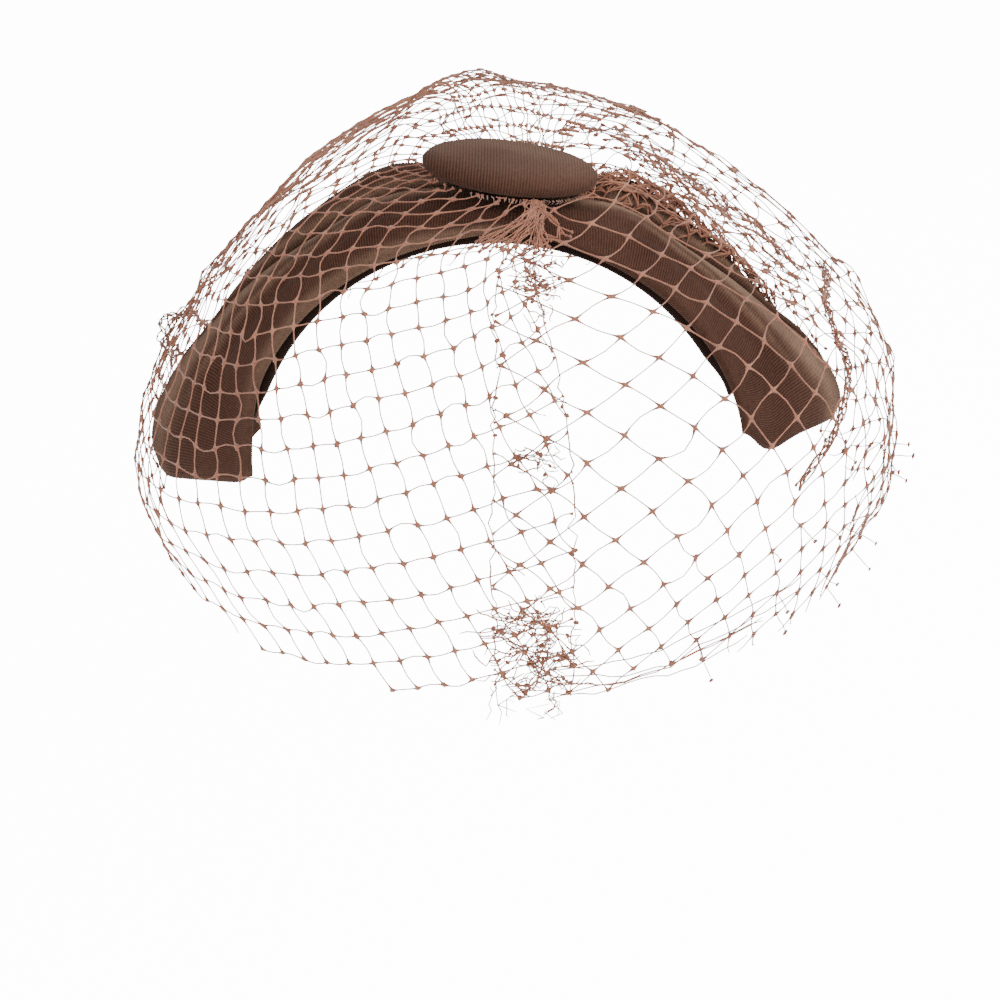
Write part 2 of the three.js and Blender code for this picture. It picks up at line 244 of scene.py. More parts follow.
studio = {
    "place": (0.0017, -0.444, 0.222),
    "pitch": 53.5,                            # degrees up from straight down
    "lens": 61.2,
    "floor": -0.305,
    "sky": 0.9,
    "glow": 13,                               # how bright the white sweep looks
    "lights": {                               # place, size and power
        "key": ((-0.5, -0.5, 0.95), 0.7, 6),
        "side": ((0.75, -0.25, 0.65), 0.6, 12),
        "front": ((-0.1, -0.9, 0.1), 0.8, 6),
        "back": ((0.15, 0.8, 0.7), 0.8, 5),
    },
    "warm": (1, 0.985, 0.96),
    "pale": (0.9, 0.9, 0.9, 1),
}


def areaLight(name, place, size, power):
    data = bpy.data.lights.new(name, "AREA")
    data.size = size
    data.energy = power
    data.color = studio["warm"]
    light = bpy.data.objects.new(name, data)
    light.location = place
    light.rotation_euler = (-Vector(place)).to_track_quat("-Z", "Y").to_euler()
    scene.collection.objects.link(light)


def makeStudio():
    data = bpy.data.cameras.new("camera")
    data.lens = studio["lens"]
    data.sensor_width = 36
    camera = bpy.data.objects.new("camera", data)
    camera.location = studio["place"]
    camera.rotation_euler = (math.radians(studio["pitch"]), 0, 0)
    scene.collection.objects.link(camera)
    scene.camera = camera
    world = bpy.data.worlds.new("studio")
    world.use_nodes = True
    background = world.node_tree.nodes["Background"]
    background.inputs["Color"].default_value = (1, 1, 1, 1)
    background.inputs["Strength"].default_value = studio["sky"]
    scene.world = world
    for name, (spot, size, power) in studio["lights"].items():
        areaLight(name, spot, size, power)
    bm = bmesh.new()
    bmesh.ops.create_grid(bm, x_segments=1, y_segments=1, size=6)
    bmesh.ops.translate(bm, verts=bm.verts, vec=(0, 0, studio["floor"]))
    floor = meshObject("floor", bm)
    shade = Shade("paleFloor")
    seen = shade.node("ShaderNodeLightPath", output="Is Camera Ray")
    shade.varying("Emission Color", seen)
    shade.fixed({"Base Color": studio["pale"], "Roughness": 0.9, "Emission Strength": studio["glow"]})
    floor.data.materials.append(shade.material)


makeStudio()
print("studio ready")


# The curve that the hat follows, and the rounded sections that its cloth is folded in

head = {"halfWidth": 75 * mm, "rise": 85 * mm, "crown": 95 * mm, "leftEnd": 89, "rightEnd": 82}
band = {"depth": 41 * mm, "wall": 1.8 * mm, "lip": 1.4 * mm, "clear": 0.4 * mm}
fold = {
    "rise": 34 * mm,
    "thick": 9 * mm,
    "drop": 10 * mm,
    "seam": 6,                                # degrees off the crown, under the button
    "frontShare": 0.53,
    "wall": 0.9 * mm,
    "ribPitch": 0.92 * mm,
    "ribHeight": 0.2 * mm,
    "around": 56,
    "lipReach": 4 * mm,
    "tuck": 2.4 * mm,                         # how far the left front's end turns in
    "slack": 1.1,                             # the cloth's length to the curve's
    "innerRows": 48,
    "frontWide": 1.55,                        # the cloth's flat width to the band's depth
    "backWide": 1.35,
}
foldSeat = band["wall"] + band["clear"]

frontSections = {
    "at": (0, 0.14, 0.27, 0.45, 0.6, 0.74, 0.87, 0.95, 1),
    "back": (0.53, 0.5, 0.46, 0.43, 0.46, 0.53, 0.62, 0.68, 0.69),
    "rise": (0.055, 0.08, 0.16, 0.19, 0.32, 0.5, 0.78, 0.93, 0.97),
    "thick": (0.36, 0.42, 0.62, 0.66, 0.66, 0.62, 0.56, 0.5, 0.4),
    "bow": (0.02, 0.06, 0.24, 0.2, 0.2, 0.26, 0.28, 0.24, 0.2),
    "crease": (0, 0.02, 0.1, 0.17, 0.2, 0.16, 0.06, 0, 0),
    "drop": (0, 0, 0, 0.02, 0.1, 0.3, 0.7, 0.95, 1),
    "lip": (0, 0.6, 1, 1, 1, 1, 1, 1, 0.9),
}
backSections = {
    "at": (0, 0.14, 0.27, 0.45, 0.6, 0.74, 0.87, 0.95, 1),
    "apart": (0.06, 0.08, 0.22, 0.42, 0.4, 0.2, 0.12, 0.12, 0.12),
    "rise": (0.045, 0.05, 0.12, 0.16, 0.33, 0.5, 0.76, 0.88, 0.9),
    "thick": (0.3, 0.38, 0.66, 0.62, 0.56, 0.5, 0.46, 0.42, 0.34),
    "bow": (0, 0.06, 0.42, 0.42, 0.3, 0.26, 0.22, 0.2, 0.16),
}


def headAt(angle):
    s, c = math.sin(angle), math.cos(angle)
    point = Vector((head["halfWidth"] * s, 0, head["rise"] * (c - 1)))
    out = Vector((s / head["halfWidth"], 0, c / head["rise"])).normalized()
    along = Vector((head["halfWidth"] * c, 0, -head["rise"] * s)).normalized()
    return point, out, along


def place(angle, depth, height, slide=0.0):
    point, out, along = headAt(angle)
    fall = depth * depth / (2 * head["crown"])
    return point + out * (height - fall) + along * slide + Vector((0, depth, 0))


def rowAt(table, at):                         # a table's values at any share of the way, eased
    stops = table["at"]
    last = len(stops) - 1
    i = 0
    while i < last - 1 and at > stops[i + 1]:
        i += 1
    t = min(1, max(0, (at - stops[i]) / (stops[i + 1] - stops[i])))
    near = [min(last, max(0, k)) for k in (i - 1, i, i + 1, i + 2)]
    return {key: catmullRom(t, *(row[k] for k in near)) for key, row in table.items()}


def frontEdges(at):
    row = rowAt(frontSections, at)
    low = (-band["depth"] / 2, foldSeat + row["thick"] * fold["thick"] / 2)
    high = (low[0] + row["back"] * band["depth"], foldSeat + row["rise"] * fold["rise"])
    return row, low, high


def backEdges(at):
    row = rowAt(backSections, at)
    front, _, frontHigh = frontEdges(at)
    behind = row["apart"] * fold["thick"] + front["thick"] * fold["thick"] / 4 + band["clear"]
    high = (frontHigh[0] + behind, foldSeat + row["rise"] * fold["rise"])
    low = (band["depth"] / 2, foldSeat + row["thick"] * fold["thick"] / 2)
    return row, high, low


def foldPoint(edges, turn, inset, flat=1.0):
    row, low, high = edges
    dx, dy = high[0] - low[0], high[1] - low[1]
    long = math.hypot(dx, dy)
    halfThick = row["thick"] * fold["thick"] / 2
    c, s = math.cos(turn), math.sin(turn)
    share = (1 - math.copysign(abs(c) ** 0.8, c)) / 2
    onChord = inset + share * (long - 2 * inset)
    bow = row["bow"] * fold["thick"] * math.sin(math.pi * share)
    dent = row.get("crease", 0) * fold["thick"] * bell(share - 0.42, 0.12)
    off = math.copysign(abs(s) ** 0.7, s) * (halfThick - inset) * flat + bow - dent
    lip = row.get("lip", 0) * fold["lipReach"] * bell(share, 0.14)
    depth = low[0] + (dx * onChord - dy * off) / long - lip
    height = low[1] + (dy * onChord + dx * off) / long
    return depth, height, share


def foldSpan(side):
    return math.radians(head["leftEnd"] + fold["seam"] if side < 0 else head["rightEnd"] - fold["seam"])


def angleOf(side, at):
    return math.radians(fold["seam"]) + side * at * foldSpan(side)


def shareOf(angle):
    fromSeam = angle - math.radians(fold["seam"])
    return abs(fromSeam) / foldSpan(-1 if fromSeam < 0 else 1)


def dropAt(at, depth):
    lowered = (depth + band["depth"] / 2) / band["depth"]
    share = min(1, max(0, lowered / fold["frontShare"]))
    return rowAt(frontSections, at)["drop"] * fold["drop"] * share


def foldTop(angle, depth):                    # how far out the folds reach there
    at = min(1, shareOf(angle))
    top = foldSeat
    for edges in (frontEdges(at), backEdges(at)):
        ring = [foldPoint(edges, 2 * math.pi * i / 32, 0) for i in range(33)]
        for a, b in zip(ring, ring[1:]):
            if (a[0] - depth) * (b[0] - depth) <= 0:
                t = (depth - a[0]) / ((b[0] - a[0]) or 1)
                top = max(top, mixed(a[1], b[1], t))
    return top


# The folded cloth: a skin of ribs outside, a plain skin inside, joined at the seam

def ribbedSkin(bm, edgesAt, side, inset, rows, ribbed, seed):
    around = fold["around"]
    uv = bm.loops.layers.uv.verify()
    rib = bm.verts.layers.float.get("rib") or bm.verts.layers.float.new("rib")
    wear = bm.verts.layers.float.get("wear") or bm.verts.layers.float.new("wear")
    old = set(bm.verts)
    bmesh.ops.create_grid(bm, x_segments=rows, y_segments=around, size=0.5, calc_uvs=True)
    skin = [v for v in bm.verts if v not in old]
    span = foldSpan(side)
    reach = head["rise"] * span
    start = band["clear"] / (2 * reach)
    tip = 0.5 * rowAt(frontSections, 1)["thick"] * fold["thick"]
    finish = 1 - tip / reach
    closing = 0.012                           # the last share of the rows rounds off the tip
    places = {}
    stations = {}
    for v in skin:
        i = round((v.co.x + 0.5) * rows)
        j = round((v.co.y + 0.5) * around)
        if i not in stations:
            spread = i / rows
            at = start + min(1, spread / (1 - closing)) * (finish - inset / reach - start)
            rounding = max(0, (spread - 1 + closing) / closing) * math.pi / 2
            stations[i] = at, rounding, edgesAt(at)
        at, rounding, edges = stations[i]
        turn = 2 * math.pi * j / around
        ridge = (i % 2) * 2 - 1 if ribbed and rounding == 0 else 0
        lift = fold["ribHeight"] * 0.5 * ridge
        flat = math.cos(rounding)
        depth, height, share = foldPoint(edges, turn, inset - lift, flat)
        outer = max(0, math.sin(turn))
        if side < 0 and edgesAt is frontEdges:
            height -= fold["tuck"] * eased(0.7, 0.95, at) * bell(share, 0.2)
        if ribbed:
            height += shapeDetail(side, at, share, outer, seed) * flat
        slant = ribSlant(edgesAt, share, outer) * (1 - eased(0.93, 1, at)) * eased(0, 0.05, at) * flat
        cut = endCut(side, share) * eased(0.6, 1, at)
        slid = side * (dropAt(at, depth) + math.sin(rounding) * (tip - inset) + slant + cut)
        v.co = place(angleOf(side, at), depth, height, slid)
        v[rib] = 0.5 + 0.5 * ridge
        v[wear] = wearAndHighlightAt(edgesAt, side, at, share, outer) if ribbed else 0
        places[v] = (at * reach, share * edges[0]["thick"] * fold["thick"] * 4)
    for face in {f for v in skin for f in v.link_faces}:
        for loop in face.loops:
            loop[uv].uv = places[loop.vert]
    bmesh.ops.remove_doubles(bm, verts=skin, dist=1e-7)


panelEnds = {                                 # millimetres along the panel, from its front edge back
    "left": {"level": 1.2, "slope": 5.8, "backCorner": 8.5, "frontCorner": 5},
    "right": {"bulge": 2.6, "slope": 3, "backCorner": 2, "frontCorner": 9.5},
}
clothDetail = {                               # heights in millimetres
    "soft": 0.55,
    "small": 0.18,
    "pleats": 0.3,
    "lipLine": 0.4,
    "slant": 5.5 * mm,                        # how far the ribs lean
    "slantUpTo": 0.42,                        # of the way across
}
rubbedAndLit = {                                    # where across a fold a rub and its painted highlight lie, and how wide they are
    "ridge": (0.86, 0.13),
    "lip": (0.02, 0.055),
    "crease": (0.58, 0.045),
    "backTop": (0.08, 0.09),
}


def endCut(side, share):                      # the panels' own lower edges: one level, one slanting up
    if side < 0:
        end = panelEnds["left"]
        corners = end["backCorner"] * eased(0.66, 1.04, share) ** 2 + end["frontCorner"] * bell(share, 0.07)
        return (end["level"] + end["slope"] * share - corners) * mm
    end = panelEnds["right"]
    corners = end["frontCorner"] * bell(share, 0.11) + end["backCorner"] * bell(share - 1, 0.08)
    return (end["bulge"] * bell(share - 0.2, 0.16) - corners - end["slope"] * share) * mm


def shapeDetail(side, at, share, outer, seed):
    spot = Vector((at * 9 * side, share * 2.2, seed))
    soft = noise.noise(spot) * clothDetail["soft"] * mm
    small = noise.noise(spot * 3.1) * clothDetail["small"] * mm
    pleats = clothDetail["pleats"] * mm * math.sin(share * 21 + seed) * bell(at, 0.26)
    lipLine = -clothDetail["lipLine"] * mm * bell(share - 0.1, 0.018)
    return outer**0.6 * ((soft + small) * eased(0, 0.15, at) + pleats + lipLine)


def ribSlant(edgesAt, share, outer):          # the ribs lean along the lower strip of a front fold
    if edgesAt is not frontEdges:
        return 0
    before = clothDetail["slantUpTo"] - share
    return clothDetail["slant"] * before * (1 if before > 0 else 0.25) * min(1, outer * 3)


def rubAndHighlight(name, share):
    middle, width = rubbedAndLit[name]
    return bell(share - middle, width)


# the lighter tone across the cloth: painted highlight along the ridge, the lip, the crease line and the
# back fold's top, together with rubbed wear; stronger on the outer face, on the right ridge and on the left
# lip
def wearAndHighlightAt(edgesAt, side, at, share, outer):
    if edgesAt is backEdges:
        return 0.75 * rubAndHighlight("backTop", share) * (0.35 + 0.65 * outer)
    ridge = (1.35 + 0.3 * side) * rubAndHighlight("ridge", share) * (1 - 0.5 * eased(0.75, 1, at))
    lip = (0.3 - 0.25 * side) * rubAndHighlight("lip", share) * (1 - 0.8 * eased(0.62, 0.85, at))
    crease = 0.5 * rubAndHighlight("crease", share) * eased(0.2, 0.4, at) * (1 - eased(0.7, 0.9, at))
    return min(1, (ridge + crease) * (0.35 + 0.65 * outer) + lip)


def makeFold(name, edgesAt, side, seed):
    bm = bmesh.new()
    reach = fold["slack"] * head["rise"] * foldSpan(side)
    rows = 2 * round(reach / fold["ribPitch"])
    ribbedSkin(bm, edgesAt, side, 0, rows, True, seed)
    outside = set(bm.faces)
    ribbedSkin(bm, edgesAt, side, fold["wall"], fold["innerRows"], False, seed)
    inside = [f for f in bm.faces if f not in outside]
    bmesh.ops.recalc_face_normals(bm, faces=list(outside))
    bmesh.ops.recalc_face_normals(bm, faces=inside)
    rims = [e for e in bm.edges if e.is_boundary]
    bmesh.ops.reverse_faces(bm, faces=inside)
    bmesh.ops.bridge_loops(bm, edges=rims)
    bmesh.ops.recalc_face_normals(bm, faces=bm.faces)
    piece = meshObject(name, bm)
    piece.data.materials.append(materials["cloth"])
    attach(piece, "root")
    return piece


for label, side in (("left", -1), ("right", 1)):
    for layer, edgesAt, seed in (("front", frontEdges, 3.1), ("back", backEdges, 7.4)):
        piece = makeFold(f"{layer}_cloth_{label}", edgesAt, side, seed + side)
        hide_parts(f"{layer}_fold_{label}")
        cut = (fold[f"{layer}Wide"] * band["depth"], head["rise"] * foldSpan(side) * fold["slack"])
print("folds made")


# The base strip under the folds

baseStrip = {
    "leftShort": 10,                          # degrees between its ends and the folds'
    "rightShort": 12,
    "across": 16,
    "pulledIn": 6 * mm,                       # how far its front edge draws in towards the ends
    "rib": 0.06 * mm,
    "sunk": 0.1 * mm,
    "edgeRoll": 0.5 * mm,
    "cover": 0.7 * mm,                        # how much thinner its cloth is than the band's wall
}


def makeStrip():
    start = math.radians(baseStrip["leftShort"] - head["leftEnd"])
    end = math.radians(head["rightEnd"] - baseStrip["rightShort"])
    length = head["rise"] * (end - start)
    rows = 2 * round(length / fold["ribPitch"])
    across = baseStrip["across"]
    bm = bmesh.new()
    uv = bm.loops.layers.uv.verify()
    rib = bm.verts.layers.float.new("rib")
    wear = bm.verts.layers.float.new("wear")
    bmesh.ops.create_grid(bm, x_segments=rows, y_segments=across, size=0.5, calc_uvs=True)
    for face in bm.faces:
        for loop in face.loops:
            co = loop.vert.co
            loop[uv].uv = (co.x * length, co.y * band["depth"])
    for v in bm.verts:
        i, j = round((v.co.x + 0.5) * rows), v.co.y + 0.5
        outwards = abs(2 * i / rows - 1)
        front = band["depth"] / 2 + band["lip"] - baseStrip["pulledIn"] * eased(0.8, 1, outwards)
        depth = mixed(-front, band["depth"] / 2, j)
        padding = (1.7 + 1.2 * eased(0.6, 1, outwards)) * mm * bell(j - 0.09, 0.06)
        rolled = baseStrip["edgeRoll"] * (bell(j, 0.04) + bell(j - 1, 0.05))
        lift = (i % 2) * baseStrip["rib"] + padding - rolled
        v.co = place(mixed(start, end, i / rows), depth, band["wall"] - baseStrip["sunk"] + lift)
        v[rib] = i % 2
        v[wear] = 0
    bmesh.ops.recalc_face_normals(bm, faces=bm.faces)
    top = max(bm.faces, key=lambda f: f.calc_center_median().z)
    if top.normal.z < 0:
        bmesh.ops.reverse_faces(bm, faces=bm.faces)
    strip = meshObject("base_strip", bm)
    strip.data.materials.append(materials["base"])
    wall = strip.modifiers.new("cloth", "SOLIDIFY")
    wall.thickness = band["wall"] - baseStrip["cover"]
    wall.offset = -1
    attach(strip, "root")
    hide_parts("bandeau")


makeStrip()
print("base strip made")


# The covered button

button = {
    "width": 50 * mm,
    "depth": 32 * mm,
    "thick": 9.4 * mm,
    "foot": 5.6 * mm,
    "across": 4.5 * mm,
    "forward": 3 * mm,
    "tiltSide": 7,
    "tiltBack": 6,
    "gathers": 46,
    "gatherDepth": 0.035,
    "turns": 200,
    "rings": 80,
    "dimple": 0.5 * mm,
}
buttonTurn = Euler((math.radians(-button["tiltBack"]), math.radians(button["tiltSide"]), 0)).to_matrix()
buttonAngle = math.asin(button["across"] / head["halfWidth"])
buttonSeat = place(buttonAngle, -button["forward"], foldTop(buttonAngle, -button["forward"])).z
buttonPlace = Vector((button["across"], -button["forward"], buttonSeat + band["clear"] + button["foot"]))
buttonProfile = (                             # reach in half widths, height in thicknesses
    (0, -button["foot"] / button["thick"]), (0.3, -button["foot"] / button["thick"]),
    (0.52, -0.41), (0.78, -0.33), (0.95, -0.17), (1, 0.06), (0.955, 0.28), (0.84, 0.43),
    (0.62, 0.53), (0.32, 0.585), (0, 0.6),
)


def buttonPoint(reach, height, angle):
    x = math.cos(angle) * reach * button["width"] / 2
    y = math.sin(angle) * reach * button["depth"] / 2
    return Vector((x, y, height * button["thick"]))


def profileAt(way):                           # the profile's reach and height, eased between its points
    scaled = way * (len(buttonProfile) - 1)
    i = min(int(scaled), len(buttonProfile) - 2)
    near = [buttonProfile[min(len(buttonProfile) - 1, max(0, k))] for k in (i - 1, i, i + 1, i + 2)]
    return [catmullRom(scaled - i, *(p[axis] for p in near)) for axis in (0, 1)]


def makeButton():
    turns, rings = button["turns"], button["rings"]
    bm = bmesh.new()
    uv = bm.loops.layers.uv.verify()
    wear = bm.verts.layers.float.new("wear")
    bmesh.ops.create_grid(bm, x_segments=turns, y_segments=rings, size=0.5, calc_uvs=True)
    places = {}
    for v in bm.verts:
        angle = 2 * math.pi * (v.co.x + 0.5)
        way = v.co.y + 0.5
        reach, height = profileAt(way)
        reach = max(0, reach)
        below = max(0, min(1, (0.52 - way) / 0.3))
        wander = 2 * noise.noise(Vector((math.cos(angle) * 2, math.sin(angle) * 2, 1)))
        gather = 0.5 + 0.5 * math.cos(button["gathers"] * angle + wander)
        pulled = button["gatherDepth"] * gather * below * min(1, reach * 2)
        spot = Vector((reach * math.cos(angle) * 2, reach * math.sin(angle) * 2, 5))
        dimple = button["dimple"] * noise.noise(spot)
        point = buttonPoint(reach * (1 - pulled), height, angle)
        v.co = point + Vector((0, 0, dimple if way > 0.5 else 0))
        # painted highlight: the top of the cover lighter, most towards its back right, where the light
        # falls
        v[wear] = 0.3 * eased(0.42, 0.75, way) * (0.7 + 0.3 * math.cos(angle - 0.8))
        across = math.cos(angle) * (1 if way < 0.5 else reach) * button["width"] / 2
        places[v] = (across, way * button["depth"])
    for face in bm.faces:
        for loop in face.loops:
            loop[uv].uv = places[loop.vert]
    bmesh.ops.remove_doubles(bm, verts=bm.verts, dist=1e-6)
    bmesh.ops.recalc_face_normals(bm, faces=bm.faces)
    bmesh.ops.transform(bm, matrix=Matrix.Translation(buttonPlace) @ buttonTurn.to_4x4(), verts=bm.verts)
    piece = meshObject("covered_button", bm)
    piece.data.materials.append(materials["button"])
    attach(piece, "root")
    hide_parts("button")


makeButton()
print("button made")


# The veil's surface: "around" goes once round from the front over the right, "down" from 0 to 1

veil = {
    "front": 105 * mm,
    "back": 100 * mm,
    "left": 110 * mm,
    "right": 122 * mm,
    "drop": 100 * mm,
    "lift": 15 * mm,
    "thread": 0.18 * mm,
    "knot": 0.8 * mm,
    "offCloth": 0.8 * mm,                     # between the net and the cloth under it
    "seam": 5,                                # degrees over the right where its ends lap
}
netRight = {                                  # a flat round net: its angles spread as it comes round
    "cell": 9.5 * mm,
    "start": 39.4,                            # the flat net's angle at the front
    "spread": 0.788,
    "ends": (0, 150),                         # degrees round from the front, over the right
}
netLeft = {                                   # a strip of net, its rows level at the side
    "column": 7.2 * mm,
    "lean": 4.2 * mm,                         # how far a column moves over from row to row
    "row": 7.2 * mm,
    "strip": (-345 * mm, -155 * mm, -75 * mm, 0),
    "degrees": (145, 270, 328, 370),          # where those lengths of the strip come
    "rise": 84 * mm,                          # how far the rows climb to the seam
    "open": 0.42,                             # how much wider apart the rows are at the seam
    "pivot": 90 * mm,
    "climbs": 255,                            # the degrees where the rows start to climb
    "bend": 1.5,                              # how late they do most of it
    "beyond": 0.6,                            # degrees to a millimetre past the strip's end
    "ends": (150, 370),
    "over": 0.5 * mm,                         # how far outside the right net it lies
}
gathered = {                                  # where the strip's degrees come at the top
    "strip": (150, 200, 250, 350, 370),
    "round": (144, 173, 207, 355, 369),
}
veilRings = {
    "front": (0.24, 0.42, 0.64, 0.83, 0.95, 1),
    "frontUp": (0.35, -0.01, -0.11, -0.31, -0.56, -0.97),
    "left": (0.3, 0.5, 0.71, 0.86, 1, 0.94),
    "right": (0.32, 0.55, 0.79, 0.97, 1, 0.93),
    "sideUp": (0.35, -0.06, -0.22, -0.45, -0.74, -1.04),
    "back": (0.28, 0.5, 0.73, 0.91, 1, 0.97),
    "backUp": (0.72, 0.92, 0.35, -0.13, -0.38, -0.7),
}
collar = {"reach": 0.88, "under": 0.38}
bubble = {
    "drawn": 0.78,                            # the share of its way round that the gathers take up
    "drawnDegrees": 42,
    "drawnRun": 16 * mm,
    "aside": 15,                              # degrees that the gathers lie over to the right
    "asideDegrees": 60,
    "smallBumps": 1.9,                        # in millimetres
    "largeBumps": 3.0,
    "edgeStep": 2.6 * mm,                     # between the points of a cut edge's thread
}


def heightOf(share):
    return share * (veil["lift"] if share > 0 else veil["drop"])


def collarPoint(around):
    angle = around * 2 * math.pi - math.pi / 2
    point = buttonPoint(collar["reach"], -collar["under"], angle)
    return buttonTurn @ point + buttonPlace


def veilRing(k, around):
    if k < 0:
        return collarPoint(around)
    ring = {key: row[min(k, len(row) - 1)] for key, row in veilRings.items()}
    s, c = math.sin(around * 2 * math.pi), math.cos(around * 2 * math.pi)
    side = ring["right"] * veil["right"] if s > 0 else ring["left"] * veil["left"]
    reach = ring["front"] * veil["front"] if c > 0 else ring["back"] * veil["back"]
    height = heightOf(ring["frontUp"] if c > 0 else ring["backUp"]) * c * c
    return Vector((side * s, -reach * c, height + heightOf(ring["sideUp"]) * s * s))


def offFolds(point):                          # lifts a point of the net clear of the cloth
    angles = np.radians(np.arange(-100, 101))
    aside = point.x - head["halfWidth"] * np.sin(angles)
    gaps = np.hypot(aside, point.z - head["rise"] * (np.cos(angles) - 1))
    angle = float(angles[int(gaps.argmin())])
    foot, out, _ = headAt(angle)
    height = (point - foot).dot(out) + point.y**2 / (2 * head["crown"])
    end = head["rightEnd"] if angle > 0 else head["leftEnd"]
    near = abs(point.y) < band["depth"] / 2 + 9 * mm and abs(angle) < math.radians(end) + 10 / 85
    if not near:
        return point
    need = foldTop(angle, point.y) + veil["offCloth"]
    return point + out * max(0, need - height)


columns, levels = 120, 60
veilTable = np.zeros((columns, levels + 1, 3))
for i in range(columns):
    rings = len(veilRings["front"])
    for j in range(levels + 1):
        scaled = j / levels * rings
        k = min(int(scaled), rings - 1)
        near = [veilRing(n, i / columns) for n in (k - 2, k - 1, k, k + 1)]
        veilTable[i, j] = offFolds(catmullRom(scaled - k, *near))
veilSteps = np.linalg.norm(np.diff(veilTable, axis=1), axis=2)
veilRun = np.concatenate([np.zeros((columns, 1)), np.cumsum(veilSteps, axis=1)], axis=1)
acrossStep = np.roll(veilTable, -1, axis=0) - np.roll(veilTable, 1, axis=0)
veilOut = np.cross(np.gradient(veilTable, axis=1), acrossStep)
veilOut /= np.linalg.norm(veilOut, axis=2, keepdims=True)
veilBoth = np.concatenate([veilTable, veilOut], axis=2)
collarRun = 18 * mm                           # the net's own radius where the collar holds it
print("veil surface measured")


def veilAt(around, run):                      # the point "run" metres of net from the pole, and the way out
    column = (around % 1) * columns
    i = int(column) % columns
    share = column - int(column)
    spots = []
    for k in (i, (i + 1) % columns):
        down = np.interp(run - collarRun, veilRun[k], range(levels + 1))
        j = min(int(down), levels - 1)
        spots.append(mixed(veilBoth[k, j], veilBoth[k, j + 1], down - j))
    both = mixed(spots[0], spots[1], share)
    return Vector(both[:3]), Vector(both[3:]).normalized()


def hemRun(around):
    column = (around % 1) * columns
    i = int(column) % columns
    return collarRun + mixed(veilRun[i, -1], veilRun[(i + 1) % columns, -1], column - int(column))


# Threads: every strand is a path with a thickness at each point, and knots are small blobs

class Threads:
    def __init__(self, seed):
        self.paths = []
        self.knots = []
        self.draw = random.Random(seed)

    def strand(self, points, radii):
        self.paths.append((points, radii))

    def knot(self, point, out, size):
        self.knots.append((point, out, size))

    def wisp(self, points, thick=1.0):
        thin = veil["thread"] * thick
        self.strand(points, [thin * 0.7] + [thin] * (len(points) - 2) + [thin * 0.7])

    def build(self, name, node):
        curve = bpy.data.curves.new(name, "CURVE")
        curve.dimensions = "3D"
        curve.bevel_depth = 1
        curve.bevel_resolution = 1
        curve.use_fill_caps = True
        curve.fill_mode = "FULL"
        for points, radii in self.paths:
            spline = curve.splines.new("POLY")
            spline.points.add(len(points) - 1)
            spline.points.foreach_set("co", [c for p in points for c in (*p, 1)])
            spline.points.foreach_set("radius", radii)
        tubes = bpy.data.objects.new(name, curve)
        mesh = bpy.data.meshes.new_from_object(tubes)
        bpy.data.objects.remove(tubes)
        mesh.materials.clear()
        bm = bmesh.new()
        bm.from_mesh(mesh)
        strandFaces = len(bm.faces)
        for point, out, size in self.knots:
            turn = out.to_track_quat("Z", "Y").to_matrix().to_4x4()
            spin = Matrix.Rotation(self.draw.uniform(0, 6.3), 4, "Z")
            shape = Matrix.Diagonal((size * 1.2, size * 0.8, size * 0.5, 1))
            matrix = Matrix.Translation(point) @ turn @ spin @ shape
            bmesh.ops.create_icosphere(bm, subdivisions=1, radius=1, matrix=matrix)
        bm.faces.ensure_lookup_table()
        for face in bm.faces[strandFaces:]:
            face.material_index = 1
        piece = meshObject(name, bm)
        piece.data.materials.append(materials["thread" if node else "stitch"])
        piece.data.materials.append(materials["knot"])
        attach(piece, "root")
        if node:
            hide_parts(node)
        print(name, len(self.paths), "strands", len(self.knots), "knots")


# The net: a round net over the right, a gathered strip over the left, lapped at the front

def rightCorner(i, j):                        # a mesh corner's degrees from the front and its run
    flat = math.degrees(math.atan2(j, i))
    flat += 360 if flat < -100 else 0
    return (flat - netRight["start"]) / netRight["spread"], math.hypot(i, j) * netRight["cell"]


def leftCorner(i, j):
    across = i * netLeft["column"] + j * netLeft["lean"]
    degrees = float(np.interp(across, netLeft["strip"], netLeft["degrees"]))
    past = min(0, across - netLeft["strip"][0]) / mm * netLeft["beyond"]
    degrees += math.degrees(max(0, across)) / veil["front"] + past
    climb = (degrees - netLeft["climbs"]) / (netLeft["ends"][1] - netLeft["climbs"])
    near = max(0, min(1.2, climb))
    down = (j * netLeft["row"] - netLeft["pivot"]) * (1 + netLeft["open"] * near)
    return degrees, netLeft["pivot"] + down - netLeft["rise"] * near ** netLeft["bend"]


def bubblePoint(degrees, run, spread=1.0):    # degrees from the front, over the right
    fromSeam = (degrees - veil["seam"] + 180) % 360 - 180
    top = bell(max(0, run - collarRun), bubble["drawnRun"])
    drawn = bubble["drawn"] * bell(fromSeam, bubble["drawnDegrees"]) * top
    aside = bubble["aside"] * top * bell(fromSeam, bubble["asideDegrees"])
    around = (veil["seam"] + fromSeam * (1 - drawn) + aside) / 360
    point, out = veilAt(around, max(collarRun, run))
    behind = 0.3 + 0.8 * eased(75, 120, -fromSeam)
    wild = 0.4 + 1.35 * eased(25, 75, abs(fromSeam)) * (1 if fromSeam > 0 else behind)
    slack = eased(collarRun, collarRun + 40 * mm, run)
    drift = noise.noise_vector(point * 70) * bubble["smallBumps"] * mm
    drift += noise.noise_vector(point * 23) * bubble["largeBumps"] * mm
    drift *= wild * slack * spread
    return point + drift - out * min(0, drift.dot(out)) * 0.85, out


def netPoint(degrees, run):
    if degrees > netLeft["ends"][0]:
        top = float(np.interp(degrees, gathered["strip"], gathered["round"]))
        degrees = mixed(top, degrees, eased(42 * mm, 105 * mm, run))
    return bubblePoint(degrees, run)


strandShares = (0, 0.05, 0.12, 0.21, 0.5, 0.79, 0.88, 0.95, 1)
strandSwell = (3, 2.5, 1.6, 1.05, 1, 1.05, 1.6, 2.5, 3)


